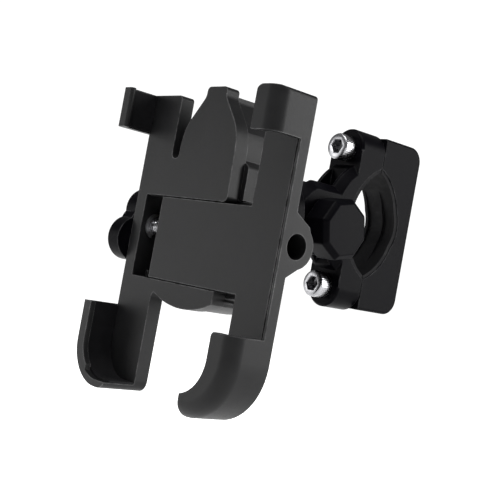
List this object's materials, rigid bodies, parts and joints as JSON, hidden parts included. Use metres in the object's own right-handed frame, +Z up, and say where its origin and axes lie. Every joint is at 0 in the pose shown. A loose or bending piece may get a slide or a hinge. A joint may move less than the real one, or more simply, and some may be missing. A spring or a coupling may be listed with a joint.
{
  "type": "phone handlebar mount",
  "caption": "Metal phone holder with two sliding jaws closed by a screw, on a swivelling and tilting knuckle that clamps to a handlebar.",
  "frame": {"origin": "centre of the handlebar bore, at the middle of the clamp's width", "axes": "+X along the handlebar, +Z up along the long side of the phone, -Y from the bar towards the phone and the rider"},
  "size_m": [0.088, 0.1123, 0.1092],
  "materials": {
    "dark_anodised": "matt dark grey anodised aluminium",
    "black_anodised": "semi-gloss black anodised aluminium",
    "bright_steel": "polished plated steel",
    "spring_steel": "plain spring steel",
    "black_rubber": "matt black rubber",
    "bushing_brass": "turned brass",
    "washer_plastic": "black acetal"
  },
  "bodies": {
    "clamp": {"clamp_front": "black_anodised", "front_liner": "black_rubber", "tilt_bolt": "bright_steel"},
    "clamp_cap": {"clamp_rear": "black_anodised", "rear_liner": "black_rubber"},
    "upper_screw": {"upper_clamp_screw": "bright_steel"},
    "lower_screw": {"lower_clamp_screw": "bright_steel"},
    "lock_nut": {"tilt_lock_nut": "black_anodised"},
    "knuckle": {"swivel_lug": "black_anodised", "tilt_washers": "washer_plastic", "friction_washer": "washer_plastic", "swivel_bolt": "bright_steel", "spring_washer": "spring_steel"},
    "holder": {"left_jaw": "dark_anodised", "base_housing": "dark_anodised", "housing_screws": "bright_steel", "swivel_seat": "black_anodised", "upper_left_pad": "black_rubber", "lower_left_pad": "black_rubber"},
    "sliding_jaw": {"right_jaw": "dark_anodised", "thread_insert": "bushing_brass", "upper_right_pad": "black_rubber", "lower_right_pad": "black_rubber"},
    "drive": {"lead_screw": "bright_steel", "retaining_clip": "spring_steel", "thrust_washer": "washer_plastic", "wing_knob": "black_anodised", "knob_pin": "spring_steel"}
  },
  "joints": [
    {"name": "clamp_opening", "type": "slide", "parent": "clamp", "child": "clamp_cap", "axis": [0, 1, 0], "range_m": [0, 0.005]},
    {"name": "upper_screw_turn", "type": "hinge", "parent": "clamp", "child": "upper_screw", "pos_m": [0, -0.0126, 0.0262], "axis": [0, 1, 0], "range_deg": [-1801, 1]},
    {"name": "lower_screw_turn", "type": "hinge", "parent": "clamp", "child": "lower_screw", "pos_m": [0, -0.0126, -0.0262], "axis": [0, 1, 0], "range_deg": [-1801, 1]},
    {"name": "tilt", "type": "hinge", "parent": "clamp", "child": "knuckle", "pos_m": [0, -0.0246, -0.0055], "axis": [1, 0, 0], "range_deg": [-40, 40]},
    {"name": "lock_nut_turn", "type": "hinge", "parent": "clamp", "child": "lock_nut", "pos_m": [0.01355, -0.0246, -0.0055], "axis": [1, 0, 0], "range_deg": [-180, 180]},
    {"name": "swivel", "type": "hinge", "parent": "knuckle", "child": "holder", "pos_m": [0, -0.0509, -0.0055], "axis": [0, 1, 0], "continuous": true},
    {"name": "jaw_slide", "type": "slide", "parent": "holder", "child": "sliding_jaw", "axis": [1, 0, 0], "range_m": [-0.007, 0.02]},
    {"name": "knob_turn", "type": "hinge", "parent": "holder", "child": "drive", "pos_m": [-0.036, -0.072, -0.0165], "axis": [1, 0, 0], "range_deg": [-9005, 3155]}
  ],
  "couplings": [
    {"joint": "upper_screw_turn", "follows": "clamp_opening", "rad_per_m": -6283.2},
    {"joint": "lower_screw_turn", "follows": "clamp_opening", "rad_per_m": -6283.2},
    {"joint": "knob_turn", "follows": "jaw_slide", "rad_per_m": -7854}
  ]
}
